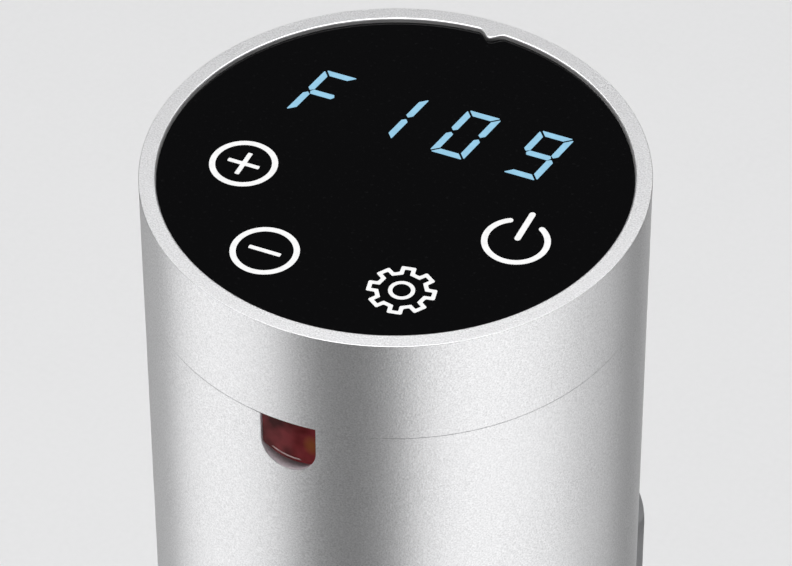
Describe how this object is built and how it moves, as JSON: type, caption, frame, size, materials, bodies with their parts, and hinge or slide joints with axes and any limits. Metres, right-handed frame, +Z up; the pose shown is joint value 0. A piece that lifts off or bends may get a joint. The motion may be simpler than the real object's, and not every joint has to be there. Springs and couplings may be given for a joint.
{
  "type": "sous vide circulator",
  "caption": "Slim immersion circulator: touch glass head on an aluminium tube, rear pot clamp, pull-off steel skirt over a tubular heater and a stirring impeller.",
  "frame": {"origin": "centre of the base cap's flat underside, on the long axis", "axes": "+Z up the long axis towards the display; the front with the status window faces -Y; +X is to the right of someone who faces that front from -Y; clamp and cord inlet face +Y"},
  "size_m": [0.06, 0.0818, 0.39],
  "materials": {
    "satin_aluminium": "bead blasted, clear anodised",
    "silver_polymer": "satin silver",
    "black_glass": "back printed black, polished",
    "light_pipe": "translucent, lit from behind",
    "red_lens": "translucent dark red",
    "black_polymer": "fine texture",
    "elastomer": "matt",
    "circuit_board": "solder mask",
    "plain_steel": "zinc plated",
    "stainless_steel": "brushed along its length",
    "heater_sheath": "satin, slightly heat tinted",
    "capacitor_sleeve": "shrink sleeve",
    "magnet": "sintered",
    "white_acetal": "moulded",
    "lead_insulation": "silicone"
  },
  "bodies": {
    "housing": {"cap_bezel": "satin_aluminium", "body_sleeve": "satin_aluminium", "clamp_bracket": "silver_polymer", "touch_glass": "black_glass", "display_segments": "light_pipe", "status_lens": "red_lens", "status_led": "red_lens", "neck_ring": "black_polymer", "bulkhead": "black_polymer", "cord_gland": "black_polymer", "gland_nut": "black_polymer", "inner_chassis": "black_polymer", "display_module": "black_polymer", "pump_plate": "black_polymer", "terminal_block": "black_polymer", "relay": "black_polymer", "buzzer": "black_polymer", "glass_gasket": "elastomer", "neck_seal": "elastomer", "bulkhead_seal": "elastomer", "skirt_seal": "elastomer", "shaft_seal": "elastomer", "tongue_pad": "elastomer", "control_board": "circuit_board", "power_board": "circuit_board", "control_chips": "circuit_board", "board_screws": "plain_steel", "board_fasteners": "plain_steel", "motor_screws": "plain_steel", "motor_can": "plain_steel", "motor_bearings": "plain_steel", "bracket_screws": "plain_steel", "clamp_nut_plate": "plain_steel", "lever_pin": "plain_steel", "lever_spring": "plain_steel", "touch_springs": "plain_steel", "transformer": "plain_steel", "heater_nuts": "plain_steel", "motor_plate": "plain_steel", "guide_tube": "stainless_steel", "temperature_probe": "stainless_steel", "level_electrodes": "stainless_steel", "heater": "heater_sheath", "filter_capacitors": "capacitor_sleeve", "motor_magnets": "magnet", "shaft_bushing": "white_acetal", "heater_leads": "lead_insulation", "motor_leads": "lead_insulation"},
    "rotor": {"motor_rotor": "plain_steel", "drive_shaft": "stainless_steel", "impeller": "white_acetal", "impeller_nut": "plain_steel"},
    "lever": {"clamp_lever": "silver_polymer", "jaw_pad": "elastomer"},
    "skirt": {"skirt_tube": "stainless_steel", "skirt_collar": "black_polymer"},
    "foot": {"base_cap": "black_polymer"}
  },
  "joints": [
    {"name": "impeller_spin", "type": "hinge", "parent": "housing", "child": "rotor", "pos_m": [0, 0, 0.03], "axis": [0, 0, 1], "continuous": true},
    {"name": "clamp_squeeze", "type": "hinge", "parent": "housing", "child": "lever", "pos_m": [0, 0.0385, 0.278], "axis": [1, 0, 0], "range_deg": [0, 14], "stiffness_Nm_per_rad": 0.9, "springref_deg": -28.65},
    {"name": "skirt_pull", "type": "slide", "parent": "housing", "child": "skirt", "axis": [0, 0, -1], "range_m": [0, 0.2]},
    {"name": "base_cap_pull", "type": "slide", "parent": "skirt", "child": "foot", "axis": [0, 0, -1], "range_m": [0, 0.03]}
  ]
}
